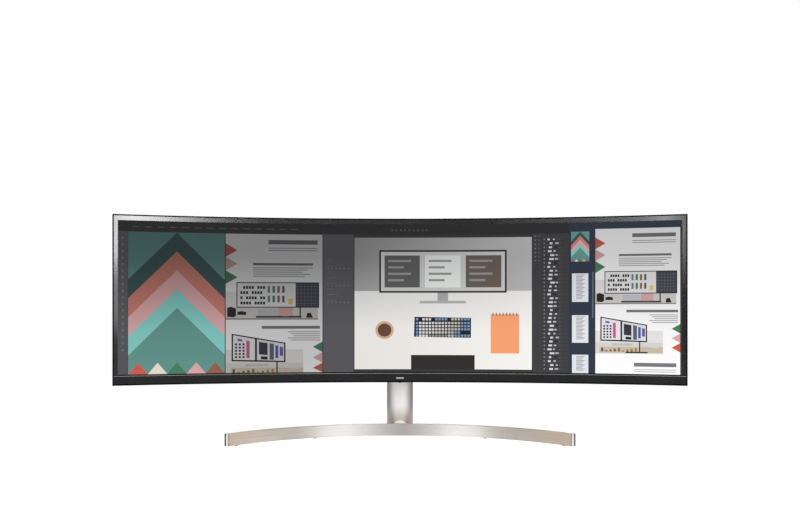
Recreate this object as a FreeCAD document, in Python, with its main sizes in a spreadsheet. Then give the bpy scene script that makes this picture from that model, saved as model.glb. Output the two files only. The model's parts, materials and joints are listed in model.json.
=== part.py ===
import FreeCAD, Part
import math
import os
import re
import Sketcher

# Curved ultra-wide computer monitor on an arc-shaped stand, in millimetres, +Z up.
# The origin is on the table, under the column's axis. The screen faces -Y and +X is its right.
# The panel's layers are concentric with a vertical axis that stands in front of the screen.

Vector = FreeCAD.Vector
DOC = FreeCAD.newDocument("Monitor")
SHEET = DOC.addObject("Spreadsheet::Sheet", "Sizes")

DIMENSIONS = {
    # Head: outline and curvature
    "head_width": 1215,
    "head_height": 363.5,
    "head_bottom": 128.3,
    "curve_radius": 1800,
    "screen_front": 107,
    # Frame and the layers behind it, as depths behind the screen's front
    "frame_depth": 12,
    "frame_wall": 2,
    "lip_depth": 1.2,
    "lip_side": 2.6,
    "lip_bottom": 3.4,
    "chin_top": 20.4,
    "glass_front": 1.4,
    "glass_back": 3.4,
    "sheets_front": 3.7,
    "sheets_back": 4.4,
    "guide_front": 4.6,
    "guide_back": 7.6,
    "chassis_front": 8.2,
    "chassis_back": 9.4,
    "layer_margin": 4,
    # Rear cover
    "cover_wall": 2.5,
    "cover_edge": 2.7,
    "hump_depth": 50,
    "side_crown": 62,
    # Stand coupling and hinge
    "plate_front": 37.5,
    "plate_back": 39.5,
    "plate_half_width": 90,
    "plate_half_height": 85,
    "vesa_half": 50,
    "vesa_thread": 2,
    "coupling_half_width": 40,
    "coupling_half_height": 55,
    "hinge_height": 310,
    "hinge_front": 38,
    "shaft_radius": 6,
    "shaft_clearance": 0.05,
    "ear_inner": 25,
    "ear_outer": 31,
    "ear_radius": 14,
    # Column
    "column_radius": 30,
    "column_wall": 3,
    "column_bottom": 17.3,
    "column_top": 230,
    "tube_radius": 24,
    "tube_wall": 3,
    "tube_bottom": 72,
    "tube_top": 286,
    "slide_gap": 0.3,
    "spring_radius": 11,
    "rod_radius": 4,
    # Base
    "bar_axis": 490.4,
    "bar_radius": 449,
    "bar_thickness": 11,
    "bar_height": 28.4,
    "bar_angle": 107.2,
    "foot_height": 1.5,
    "hub_bottom": 3,
    "hub_top": 15,
    "hub_half_width": 52,
    "bush_top": 17,
    "swivel_top": 22,
    "bolt_radius": 5,
    "stop_radius": 18,
    # Electronics
    "board_angle": 6,
    "board_half_width": 78,
    "board_bottom": 215,
    "board_top": 355,
    "main_board_depth": 21,
    "power_board_depth": 16,
    "board_thickness": 1.6,
    "socket_depth": 41,
    "bracket_half_width": 68,
    "bracket_bottom": 262,
    "bracket_top": 288,
    "inlet_x": 40,
    "inlet_z": 252,
    "speaker_angle": 13,
    # Joystick key under the chin
    "key_depth": 7.4,
    "key_pivot": 134,
}

PIECES = []
CURVE_AXIS = "-(screen_front + curve_radius)"
HEAD_TOP = "(head_bottom + head_height)"
HEAD_MIDDLE = "(head_bottom + head_height / 2)"
FULL_TURN = "360"


def fill_sheet():
    for row, (alias, size) in enumerate(DIMENSIONS.items(), start=1):
        SHEET.set(f"A{row}", alias)
        SHEET.set(f"B{row}", str(size))
        SHEET.setAlias(f"B{row}", alias)
    DOC.recompute()


def sized(text):
    """An expression in which every dimension's name points at the sheet."""
    return re.sub(r"\b(" + "|".join(DIMENSIONS) + r")\b", r"Sizes.\1", str(text))


def value(text):
    result = SHEET.evalExpression(sized(text))
    return float(getattr(result, "Value", result))


def behind(depth):
    """The Y of a point that lies a depth behind the screen's front centre."""
    return f"({depth} - screen_front)"


def radius_at(depth):
    """The radius, about the curvature axis, of a layer at a depth behind the screen's front."""
    return f"(curve_radius + {depth})"


def new_body(label, x="0", y="0", z="0", turn="0", kept=True):
    body = DOC.addObject("PartDesign::Body", label)
    body.Label = label
    body.AllowCompound = True
    for axis, text in zip("xyz", (x, y, z)):
        body.setExpression("Placement.Base." + axis, sized(text))
    body.Placement.Rotation.Axis = Vector(0, 0, 1)
    body.setExpression("Placement.Rotation.Angle", sized(f"({turn}) * 1 deg"))
    if kept:
        PIECES.append(body)
    return body


def curved_body(label, turn="0", kept=True):
    """A body whose origin is on the curvature axis; a turn swings it along the panel."""
    return new_body(label, y=CURVE_AXIS, turn=turn, kept=kept)


def origin_item(body, role):
    return next(item for item in body.Origin.OriginFeatures if item.Role == role)


def new_sketch(body, plane, height):
    origin_plane = origin_item(body, plane + "_Plane")
    sketch = body.newObject("Sketcher::SketchObject", body.Name + "_sketch")
    sketch.AttachmentSupport = [(origin_plane, "")]
    sketch.MapMode = "FlatFace"
    sign = -1 if plane == "XZ" else 1
    sketch.setExpression("AttachmentOffset.Base.z", sized(f"{sign} * ({height})"))
    return sketch


def fix_coordinate(sketch, geometry, point, kind, text):
    """Ties one coordinate of a sketch point to an expression."""
    amount = value(text)
    if abs(amount) < 1e-9:
        reference = -2 if kind == "DistanceX" else -1
        sketch.addConstraint(Sketcher.Constraint("PointOnObject", geometry, point, reference))
        return
    number = sketch.addConstraint(Sketcher.Constraint(kind, -1, 1, geometry, point, amount))
    sketch.setExpression(f"Constraints[{number}]", sized(text))


def fix_radius(sketch, geometry, text):
    number = sketch.addConstraint(Sketcher.Constraint("Radius", geometry, value(text)))
    sketch.setExpression(f"Constraints[{number}]", sized(text))


def outline(sketch, corners, centres=None):
    """A closed outline through the corners. An edge whose number is in centres is an arc."""
    centres = centres or {}
    spots = [Vector(value(x), value(y), 0) for x, y in corners]
    first = sketch.GeometryCount
    ends = []
    for index, spot in enumerate(spots):
        following = spots[(index + 1) % len(spots)]
        if index not in centres:
            sketch.addGeometry(Part.LineSegment(spot, following))
            ends.append((1, 2))
            continue
        middle = Vector(value(centres[index][0]), value(centres[index][1]), 0)
        start = math.atan2(spot.y - middle.y, spot.x - middle.x)
        finish = math.atan2(following.y - middle.y, following.x - middle.x)
        forward = (finish - start) % (2 * math.pi) < math.pi + 1e-6
        if not forward:
            start, finish = finish, start
        finish = start + (finish - start) % (2 * math.pi)
        circle_line = Part.Circle(middle, Vector(0, 0, 1), (spot - middle).Length)
        sketch.addGeometry(Part.ArcOfCircle(circle_line, start, finish))
        ends.append((1, 2) if forward else (2, 1))
    count = len(spots)
    for index in range(count):
        after = (index + 1) % count
        sketch.addConstraint(Sketcher.Constraint(
            "Coincident", first + index, ends[index][1], first + after, ends[after][0]))
    for index, (x, y) in enumerate(corners):
        fix_coordinate(sketch, first + index, ends[index][0], "DistanceX", x)
        fix_coordinate(sketch, first + index, ends[index][0], "DistanceY", y)
    for index, (x, y) in centres.items():
        corner_x, corner_y = corners[index]
        fix_radius(sketch, first + index, f"sqrt(({corner_x} - ({x}))^2 + ({corner_y} - ({y}))^2)")


def rectangle(sketch, x_low, y_low, x_high, y_high):
    outline(sketch, [(x_low, y_low), (x_high, y_low), (x_high, y_high), (x_low, y_high)])


def disc(sketch, x, y, radius):
    number = sketch.addGeometry(Part.Circle(Vector(value(x), value(y), 0), Vector(0, 0, 1), value(radius)))
    fix_coordinate(sketch, number, 3, "DistanceX", x)
    fix_coordinate(sketch, number, 3, "DistanceY", y)
    fix_radius(sketch, number, radius)


def four_discs(sketch, x, y_middle, y_half, radius):
    for x_sign in (-1, 1):
        for y_sign in (-1, 1):
            disc(sketch, f"{x_sign} * ({x})", f"{y_middle} + {y_sign} * ({y_half})", radius)


def arc_band(sketch, inner, outer, half_width):
    """A band between two arcs about the origin, with ends that run straight along Y."""
    corners = []
    for radius, side in ((inner, -1), (inner, 1), (outer, 1), (outer, -1)):
        corners.append((f"{side} * ({half_width})", f"sqrt(({radius})^2 - ({half_width})^2)"))
    outline(sketch, corners, {0: ("0", "0"), 2: ("0", "0")})


def checked(body, feature, cut):
    """Recomputes and makes sure that the feature added or removed material."""
    before = body.Tip.BaseFeature.Shape.Volume if body.Tip.BaseFeature else 0
    DOC.recompute()
    change = feature.Shape.Volume - before
    if "Invalid" in feature.State or abs(change) < 1e-6 or (change < 0) != cut:
        raise RuntimeError(f"{body.Label}: {feature.Name} changed the volume by {change}")
    return feature


def extrude(body, plane, low, high, draw, cut=False):
    """A Pad, or a Pocket when cut, between two heights along the plane's axis."""
    start = low if (plane != "XZ") != cut else high
    sketch = new_sketch(body, plane, start)
    draw(sketch)
    kind = "Pocket" if cut else "Pad"
    feature = body.newObject("PartDesign::" + kind, f"{body.Name}_{kind}")
    feature.Profile = sketch
    feature.setExpression("Length", sized(f"({high}) - ({low})"))
    return checked(body, feature, cut)


def revolve(body, angle, draw, plane="XZ", cut=False):
    """A Revolution, or a Groove when cut, about the body's Z axis."""
    sketch = new_sketch(body, plane, "0")
    draw(sketch)
    kind = "Groove" if cut else "Revolution"
    feature = body.newObject("PartDesign::" + kind, f"{body.Name}_{kind}")
    feature.Profile = sketch
    feature.ReferenceAxis = (origin_item(body, "Z_Axis"), [""])
    feature.Midplane = True
    feature.setExpression("Angle", sized(f"({angle}) * 1 deg"))
    return checked(body, feature, cut)


def turned(label, profile, x="0", y="0"):
    """A turned piece: a profile of (radius, height) corners about a vertical axis."""
    body = new_body(label, x=x, y=y)
    revolve(body, FULL_TURN, lambda sketch: outline(sketch, profile))
    return body


def tube_profile(inner, outer, low, high):
    return [(inner, low), (outer, low), (outer, high), (inner, high)]


def layer(label, front, back, low, high, margin):
    """One curved layer of the panel, between two depths and two heights."""
    body = curved_body(label)
    extrude(body, "XY", low, high, lambda sketch: arc_band(
        sketch, radius_at(front), radius_at(back), f"head_width / 2 - ({margin})"))
    return body


# Panel and its frame ---------------------------------------------------------------------------


def bezel_frame():
    body = layer("bezel_frame", "0", "frame_depth", "head_bottom", HEAD_TOP, "0")
    extrude(body, "XY", "head_bottom + frame_wall", f"{HEAD_TOP} - frame_wall", lambda sketch: arc_band(
        sketch, radius_at("lip_depth"), radius_at("frame_depth + 1"), "head_width / 2 - frame_wall"),
        cut=True)
    extrude(body, "XY", "head_bottom + lip_bottom", f"{HEAD_TOP} - lip_side", lambda sketch: arc_band(
        sketch, radius_at("-1"), radius_at("lip_depth + 0.5"), "head_width / 2 - lip_side"), cut=True)
    extrude(body, "XY", "head_bottom - 1", "head_bottom + frame_wall + 1", lambda sketch: disc(
        sketch, "0", radius_at("key_depth"), "3.7"), cut=True)


def panel_layers():
    layer("chin_trim", "0.2", "3", "head_bottom + lip_bottom", "head_bottom + chin_top", "lip_side")
    glass_bottom = "head_bottom + chin_top + 0.4"
    glass_top = f"{HEAD_TOP} - frame_wall - 0.2"
    layer("lcd_panel", "glass_front", "glass_back", glass_bottom, glass_top, "frame_wall + 0.2")
    layer_top = f"{HEAD_TOP} - layer_margin"
    layer("optical_sheets", "sheets_front", "sheets_back", glass_bottom, layer_top, "layer_margin")
    layer("light_guide", "guide_front", "guide_back", glass_bottom, layer_top, "layer_margin")


def led_bar():
    """The strip along the light guide's lower edge, with a row of lamps that face up into it."""
    top = "head_bottom + chin_top"
    body = layer("led_bar", "guide_front", "guide_back", f"{top} - 3", f"{top} - 1.4", "layer_margin")
    lamp = extrude(body, "XY", f"{top} - 1.4", f"{top} - 0.4", lambda sketch: rectangle(
        sketch, "-3.5", radius_at("guide_front + 0.5"), "3.5", radius_at("guide_back - 0.5")))
    for name, reverse in (("led_bar_right", True), ("led_bar_left", False)):
        row = body.newObject("PartDesign::PolarPattern", name)
        row.Originals = [lamp]
        row.Axis = (origin_item(body, "Z_Axis"), [""])
        row.Reversed = reverse
        row.setExpression("Angle", "18 * 1 deg")
        row.Occurrences = 17
        body.Tip = row
        checked(body, row, False)


def panel_chassis():
    """The pressed steel tray behind the panel, with a rim turned forward on every side."""
    low = "head_bottom + 14"
    high = f"{HEAD_TOP} - frame_wall - 0.4"
    body = layer("panel_chassis", "sheets_front", "chassis_back", low, high, "frame_wall + 0.4")
    extrude(body, "XY", f"{low} + 1", f"{high} - 1", lambda sketch: arc_band(
        sketch, radius_at("sheets_front - 1"), radius_at("chassis_front"),
        "head_width / 2 - frame_wall - 1.4"), cut=True)


def badge():
    """A plain raised bar in the middle of the chin."""
    body = new_body("badge")
    extrude(body, "XZ", behind("-0.1"), behind("0.17"), lambda sketch: rectangle(
        sketch, "-8", "head_bottom + 8", "8", "head_bottom + 11"))


# Rear cover ------------------------------------------------------------------------------------

COVER_END = "(sqrt((curve_radius + frame_depth)^2 - (head_width / 2)^2) + cover_edge)"
COVER_SAG = f"(curve_radius + hump_depth - {COVER_END})"
COVER_PLAN = f"(((head_width / 2)^2 + {COVER_SAG}^2) / (2 * {COVER_SAG}))"
COVER_PLAN_CENTRE = f"(curve_radius + hump_depth - {COVER_PLAN})"
SIDE_SAG = "(side_crown - frame_depth - cover_wall)"
SIDE_ARC = f"(((head_height / 2)^2 + {SIDE_SAG}^2) / (2 * {SIDE_SAG}))"
SIDE_CENTRE = f"(curve_radius + side_crown - {SIDE_ARC})"


def side_solid(label, wall):
    """The cover's side outline, revolved about the curvature axis and drawn in by a wall."""
    body = curved_body(label, kept=False)
    low = f"head_bottom + {wall}"
    high = f"{HEAD_TOP} - {wall}"
    front = "curve_radius + frame_depth"
    edge = f"{SIDE_CENTRE} + sqrt(({SIDE_ARC} - {wall})^2 - (head_height / 2 - {wall})^2)"
    revolve(body, "44", lambda sketch: outline(
        sketch, [(front, low), (edge, low), (edge, high), (front, high)],
        {1: (SIDE_CENTRE, HEAD_MIDDLE)}), plane="YZ")
    return body


def plan_solid(label, wall):
    """The cover's outline seen from above, as a tall solid drawn in by a wall."""
    body = curved_body(label, kept=False)
    half = f"(head_width / 2 - {wall})"
    arc = f"({COVER_PLAN} - {wall})"
    back = f"{COVER_PLAN_CENTRE} + sqrt({arc}^2 - {half}^2)"
    corners = [(f"-{half}", "1600"), (half, "1600"), (half, back), (f"-{half}", back)]
    extrude(body, "XY", "head_bottom - 5", f"{HEAD_TOP} + 5", lambda sketch: outline(
        sketch, corners, {2: ("0", COVER_PLAN_CENTRE)}))
    return body


def boolean(kind, label, base, tool):
    result = DOC.addObject("Part::" + kind, label)
    result.Base = base
    result.Tool = tool
    DOC.recompute()
    return result


def slots(label, turn, half_row, count, z_low, z_high, half_width):
    """A row of upright slots through the cover, in the frame that a turn gives."""
    body = curved_body(label, turn=turn, kept=False)
    first = extrude(body, "XZ", radius_at("14"), radius_at("60"), lambda sketch: rectangle(
        sketch, f"-{half_row} - {half_width}", z_low, f"-{half_row} + {half_width}", z_high))
    row = body.newObject("PartDesign::LinearPattern", label + "_row")
    row.Originals = [first]
    row.Direction = (origin_item(body, "X_Axis"), [""])
    row.Length = 2 * half_row
    row.Occurrences = count
    body.Tip = row
    checked(body, row, False)
    return body


def cover_openings():
    """Everything that goes through the rear cover, as solids to cut away."""
    tools = []
    window = curved_body("socket_window", turn="board_angle", kept=False)
    extrude(window, "XZ", radius_at("32"), radius_at("60"), lambda sketch: rectangle(
        sketch, "-bracket_half_width - 0.3", "bracket_bottom - 0.3",
        "bracket_half_width + 0.3", "bracket_top + 0.3"))
    tools.append(window)
    inlet = curved_body("inlet_window", turn="-board_angle", kept=False)
    extrude(inlet, "XZ", radius_at("32"), radius_at("60"), lambda sketch: rectangle(
        sketch, "inlet_x - 16.3", "inlet_z - 12.3", "inlet_x + 16.3", "inlet_z + 12.3"))
    tools.append(inlet)
    lock = curved_body("lock_window", turn="-board_angle", kept=False)
    extrude(lock, "XZ", radius_at("32"), radius_at("60"), lambda sketch: rectangle(
        sketch, "-31.5", "inlet_z - 1.5", "-24.5", "inlet_z + 1.5"))
    tools.append(lock)
    middle = new_body("coupling_window", kept=False)
    extrude(middle, "XZ", behind("36"), behind("60"), lambda sketch: rectangle(
        sketch, "-coupling_half_width - 0.4", "hinge_height - coupling_half_height - 0.4",
        "coupling_half_width + 0.4", "hinge_height + coupling_half_height + 0.4"))
    tools.append(middle)
    holes = new_body("stud_holes", kept=False)
    extrude(holes, "XZ", behind("40"), behind("60"), lambda sketch: four_discs(
        sketch, "vesa_half", "hinge_height", "vesa_half", "5"))
    tools.append(holes)
    screws = new_body("cover_screw_holes", kept=False)
    extrude(screws, "XZ", behind("40"), behind("60"), lambda sketch: four_discs(
        sketch, "72", "hinge_height", "70", "1.5"))
    tools.append(screws)
    button = new_body("button_window", kept=False)
    extrude(button, "XZ", behind("40"), behind("60"), lambda sketch: rectangle(
        sketch, "-12.5", "229.5", "12.5", "247.5"))
    tools.append(button)
    for side in (-1, 1):
        name = "left" if side < 0 else "right"
        tools.append(slots(f"speaker_slots_{name}", f"{-side} * speaker_angle", 42, 15, "158", "178", "1"))
    tools.append(slots("vent_slots", "0", 126, 29, "424", "446", "1.6"))
    return tools


def rear_cover():
    outside = boolean("Common", "cover_outside", side_solid("side_outside", "0"),
                      plan_solid("plan_outside", "0"))
    inside = boolean("Common", "cover_inside", side_solid("side_inside", "cover_wall"),
                     plan_solid("plan_inside", "cover_wall"))
    shell = boolean("Cut", "cover_shell", outside, inside)
    openings = DOC.addObject("Part::MultiFuse", "cover_openings")
    openings.Shapes = cover_openings()
    DOC.recompute()
    cover = boolean("Cut", "rear_cover", shell, openings)
    PIECES.append(cover)


# Stand coupling, inside and outside the rear cover ---------------------------------------------


def vesa_plate():
    """A steel bridge over the chassis, with four threaded bosses at the corners of a square."""
    body = new_body("vesa_plate")
    low = "hinge_height - plate_half_height"
    high = "hinge_height + plate_half_height"
    extrude(body, "XZ", behind("plate_front"), behind("plate_back"), lambda sketch: rectangle(
        sketch, "-plate_half_width", low, "plate_half_width", high))
    foot = "(sqrt((curve_radius + chassis_back)^2 - (plate_half_width - 2)^2) - curve_radius)"

    def legs(sketch):
        rectangle(sketch, "-plate_half_width", low, "-plate_half_width + 2", high)
        rectangle(sketch, "plate_half_width - 2", low, "plate_half_width", high)

    extrude(body, "XZ", behind(foot), behind("plate_front"), legs)
    extrude(body, "XZ", behind("plate_front - 6"), behind("plate_front"), lambda sketch: four_discs(
        sketch, "vesa_half", "hinge_height", "vesa_half", "4.5"))
    extrude(body, "XZ", behind("plate_front - 7"), behind("plate_back + 1"), lambda sketch: four_discs(
        sketch, "vesa_half", "hinge_height", "vesa_half", "vesa_thread"), cut=True)
    extrude(body, "XZ", behind("plate_front - 1"), behind("plate_back + 1"), lambda sketch: four_discs(
        sketch, "72", "hinge_height", "70", "1.5"), cut=True)
    extrude(body, "XZ", behind("plate_front - 1"), behind("plate_back + 1"), lambda sketch: four_discs(
        sketch, "30", "hinge_height", "42", "2"), cut=True)


def stand_coupling():
    """The plate on the back of the head and the two ears that turn on the tilt shaft."""
    body = new_body("stand_coupling")
    low = "hinge_height - coupling_half_height"
    high = "hinge_height + coupling_half_height"
    plate_back = "hump_depth + 1"
    extrude(body, "XZ", behind("plate_back"), behind(plate_back), lambda sketch: rectangle(
        sketch, "-coupling_half_width", low, "coupling_half_width", high))

    def ear(sketch):
        centre = ("-hinge_front", "hinge_height")
        outline(sketch, [(behind(plate_back), "hinge_height - 22"),
                         ("-hinge_front", "hinge_height - ear_radius"),
                         ("-hinge_front + ear_radius", "hinge_height"),
                         ("-hinge_front", "hinge_height + ear_radius"),
                         (behind(plate_back), "hinge_height + 22")],
                {1: centre, 2: centre})
        disc(sketch, *centre, "shaft_radius + shaft_clearance")

    extrude(body, "YZ", "-ear_outer", "-ear_inner", ear)
    extrude(body, "YZ", "ear_inner", "ear_outer", ear)
    extrude(body, "XZ", behind("plate_back - 1"), behind("hump_depth + 2"), lambda sketch: four_discs(
        sketch, "30", "hinge_height", "42", "2"), cut=True)


def screw_group(label, draw_heads, draw_shanks, head_low, head_high, shank_low):
    """Screws that point into the head from behind, as one node of separate solids."""
    body = new_body(label)
    extrude(body, "XZ", head_low, head_high, draw_heads)
    extrude(body, "XZ", shank_low, head_low, draw_shanks)


def head_screws():
    screw_group(
        "coupling_screws",
        lambda sketch: four_discs(sketch, "30", "hinge_height", "42", "3.8"),
        lambda sketch: four_discs(sketch, "30", "hinge_height", "42", "2"),
        behind("hump_depth + 1"), behind("hump_depth + 3.6"), behind("plate_front"))
    screw_group(
        "cover_screws",
        lambda sketch: four_discs(sketch, "72", "hinge_height", "70", "3"),
        lambda sketch: four_discs(sketch, "72", "hinge_height", "70", "1.5"),
        behind("48.6"), behind("50.4"), behind("plate_front - 1"))


def release_button():
    """A sprung key with a latch tongue that slides up in its window."""
    body = new_body("release_button")
    extrude(body, "XZ", behind("46"), behind("51.4"), lambda sketch: rectangle(
        sketch, "-12", "230", "12", "243"))
    extrude(body, "XZ", behind("42"), behind("47"), lambda sketch: rectangle(
        sketch, "-16", "227", "16", "248"))

    def grip_grooves(sketch):
        for z in (232, 235, 238, 241):
            rectangle(sketch, "-8", f"{z}", "8", f"{z + 1}")

    extrude(body, "XZ", behind("50.6"), behind("52"), grip_grooves, cut=True)


def button_guide():
    """The rails on the plate that the release button slides between."""
    body = new_body("button_guide")

    def rails(sketch):
        rectangle(sketch, "-20", "225.5", "-16.4", "252")
        rectangle(sketch, "16.4", "225.5", "20", "252")

    extrude(body, "XZ", behind("plate_back"), behind("45"), rails)


# Electronics in the head -----------------------------------------------------------------------


def board(label, turn, depth, blocks, cylinders):
    """A circuit board with its tall components: blocks and upright cylinders."""
    body = curved_body(label, turn=turn)
    top_side = f"{depth} + board_thickness"
    extrude(body, "XZ", radius_at(depth), radius_at(top_side), lambda sketch: rectangle(
        sketch, "-board_half_width", "board_bottom", "board_half_width", "board_top"))
    for x, z, width, height, rise in blocks:
        extrude(body, "XZ", radius_at(top_side), radius_at(f"{top_side} + {rise}"), lambda sketch: rectangle(
            sketch, f"{x - width / 2}", f"{z - height / 2}", f"{x + width / 2}", f"{z + height / 2}"))
    for x, z, radius, rise in cylinders:
        extrude(body, "XZ", radius_at(top_side), radius_at(f"{top_side} + {rise}"), lambda sketch: disc(
            sketch, f"{x}", f"{z}", f"{radius}"))


def boards():
    board("main_board", "board_angle", "main_board_depth",
          [(-20, 320, 34, 34, 6), (28, 322, 18, 18, 2), (52, 318, 14, 12, 2), (-58, 318, 10, 22, 5),
           (10, 235, 60, 8, 4)],
          [(-55, 240, 4, 8), (-42, 240, 4, 8), (55, 240, 4, 8)])
    board("power_board", "-board_angle", "power_board_depth",
          [(-40, 300, 34, 32, 20), (-40, 240, 26, 24, 18), (8, 322, 50, 8, 18), (52, 300, 22, 18, 16)],
          [(8, 285, 9, 16), (30, 292, 6, 16), (-4, 245, 6, 16), (-66, 330, 5, 14)])


def board_standoffs():
    """Pillars from the chassis to the boards, one node for both boards."""
    pillars = []
    base = "sqrt((curve_radius + chassis_back)^2 - 69^2)"
    for name, turn, depth in (("main", "board_angle", "main_board_depth"),
                              ("power", "-board_angle", "power_board_depth")):
        body = curved_body(f"{name}_pillars", turn=turn, kept=False)
        extrude(body, "XZ", base, radius_at(depth), lambda sketch: four_discs(
            sketch, "72", "285", "62", "3"))
        pillars.append(body)
    group = DOC.addObject("Part::MultiFuse", "board_standoffs")
    group.Shapes = pillars
    PIECES.append(group)


def timing_board():
    body = new_body("timing_board")
    extrude(body, "XZ", behind("chassis_back + 0.4"), behind("chassis_back + 1.6"), lambda sketch: rectangle(
        sketch, "-110", "156", "110", "180"))
    extrude(body, "XZ", behind("chassis_back + 1.6"), behind("chassis_back + 3.6"), lambda sketch: rectangle(
        sketch, "-12", "160", "12", "176"))


def panel_ribbon():
    """The flat cable from the timing board up to the main board."""
    body = new_body("panel_ribbon")
    extrude(body, "XZ", behind("chassis_back + 1.6"), behind("chassis_back + 2"), lambda sketch: rectangle(
        sketch, "-108", "170", "-94", "236"))


PORTS = [
    # name, middles along the bracket, middle height, width, height, tongue thickness
    ("hdmi_ports", (-52, -31), 275, 15, 6, 1.2),
    ("display_port", (-9,), 275, 16, 6, 1.4),
    ("usb_c_port", (10,), 275, 9, 3.6, 0.7),
    ("usb_b_port", (27,), 275, 12, 11, 5),
    ("usb_a_ports", (46,), 275, 14.4, 7, 1.9),
]


def sockets():
    """The bracket with its cut-outs and the metal shells of the sockets behind them."""
    bracket = curved_body("socket_bracket", turn="board_angle")
    extrude(bracket, "XZ", radius_at("socket_depth"), radius_at("socket_depth + 1"), lambda sketch: rectangle(
        sketch, "-bracket_half_width", "bracket_bottom", "bracket_half_width", "bracket_top"))

    def cut_outs(sketch):
        for name, middles, z, width, height, tongue in PORTS:
            for x in middles:
                rectangle(sketch, f"{x - width / 2}", f"{z - height / 2}",
                          f"{x + width / 2}", f"{z + height / 2}")
        disc(sketch, "61", "275", "3.5")

    extrude(bracket, "XZ", radius_at("socket_depth - 1"), radius_at("socket_depth + 2"), cut_outs, cut=True)
    board_face = "main_board_depth + board_thickness"
    wall = 0.5
    for name, middles, z, width, height, tongue in PORTS:
        body = curved_body(name, turn="board_angle")

        def shells(sketch, inset):
            for x in middles:
                rectangle(sketch, f"{x - width / 2 + inset}", f"{z - height / 2 + inset}",
                          f"{x + width / 2 - inset}", f"{z + height / 2 - inset}")

        def tongues(sketch):
            for x in middles:
                rectangle(sketch, f"{x - width / 2 + 2}", f"{z - tongue / 2}",
                          f"{x + width / 2 - 2}", f"{z + tongue / 2}")

        extrude(body, "XZ", radius_at(board_face), radius_at("socket_depth + 1"),
                lambda sketch: shells(sketch, 0))
        extrude(body, "XZ", radius_at("socket_depth - 9"), radius_at("socket_depth + 2"),
                lambda sketch: shells(sketch, wall), cut=True)
        extrude(body, "XZ", radius_at("socket_depth - 9"), radius_at("socket_depth - 1"), tongues)


def headphone_jack():
    """A round socket: its bore takes a 3.5 mm plug."""
    body = curved_body("headphone_jack", turn="board_angle")
    extrude(body, "XZ", radius_at("main_board_depth + board_thickness"), radius_at("socket_depth + 1"),
            lambda sketch: disc(sketch, "61", "275", "3.5"))
    extrude(body, "XZ", radius_at("socket_depth - 13"), radius_at("socket_depth + 2"),
            lambda sketch: disc(sketch, "61", "275", "1.8"), cut=True)


def power_inlet():
    """The mains inlet: a cup with three blades."""
    body = curved_body("power_inlet", turn="-board_angle")
    extrude(body, "XZ", radius_at("socket_depth - 20"), radius_at("socket_depth + 2"),
            lambda sketch: rectangle(
                sketch, "inlet_x - 16", "inlet_z - 12", "inlet_x + 16", "inlet_z + 12"))
    extrude(body, "XZ", radius_at("socket_depth - 15"), radius_at("socket_depth + 3"), lambda sketch: outline(
        sketch, [("inlet_x - 12.2", "inlet_z - 8.2"), ("inlet_x + 12.2", "inlet_z - 8.2"),
                 ("inlet_x + 12.2", "inlet_z + 4"), ("inlet_x + 8", "inlet_z + 8.2"),
                 ("inlet_x - 8", "inlet_z + 8.2"), ("inlet_x - 12.2", "inlet_z + 4")]), cut=True)

    def blades(sketch):
        for x, z in ((-7, -2), (0, 2), (7, -2)):
            rectangle(sketch, f"inlet_x + {x} - 1", f"inlet_z + {z} - 2",
                      f"inlet_x + {x} + 1", f"inlet_z + {z} + 2")

    extrude(body, "XZ", radius_at("socket_depth - 15"), radius_at("socket_depth - 4"), blades)


def lock_slot():
    body = curved_body("lock_slot", turn="-board_angle")
    extrude(body, "XZ", radius_at("42.4"), radius_at("43.4"), lambda sketch: rectangle(
        sketch, "-38", "inlet_z - 8", "-18", "inlet_z + 8"))
    extrude(body, "XZ", radius_at("42"), radius_at("44"), lambda sketch: rectangle(
        sketch, "-31.5", "inlet_z - 1.5", "-24.5", "inlet_z + 1.5"), cut=True)


def speakers():
    for side, name in ((-1, "speaker_left"), (1, "speaker_right")):
        body = curved_body(name, turn=f"{-side} * speaker_angle")
        extrude(body, "XZ", radius_at("chassis_back + 0.5"), radius_at("20"), lambda sketch: rectangle(
            sketch, "-60", "150", "60", "196"))
        extrude(body, "XZ", radius_at("20"), radius_at("21.5"), lambda sketch: rectangle(
            sketch, "-45", "160", "45", "186"))


# Joystick key ----------------------------------------------------------------------------------


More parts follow.
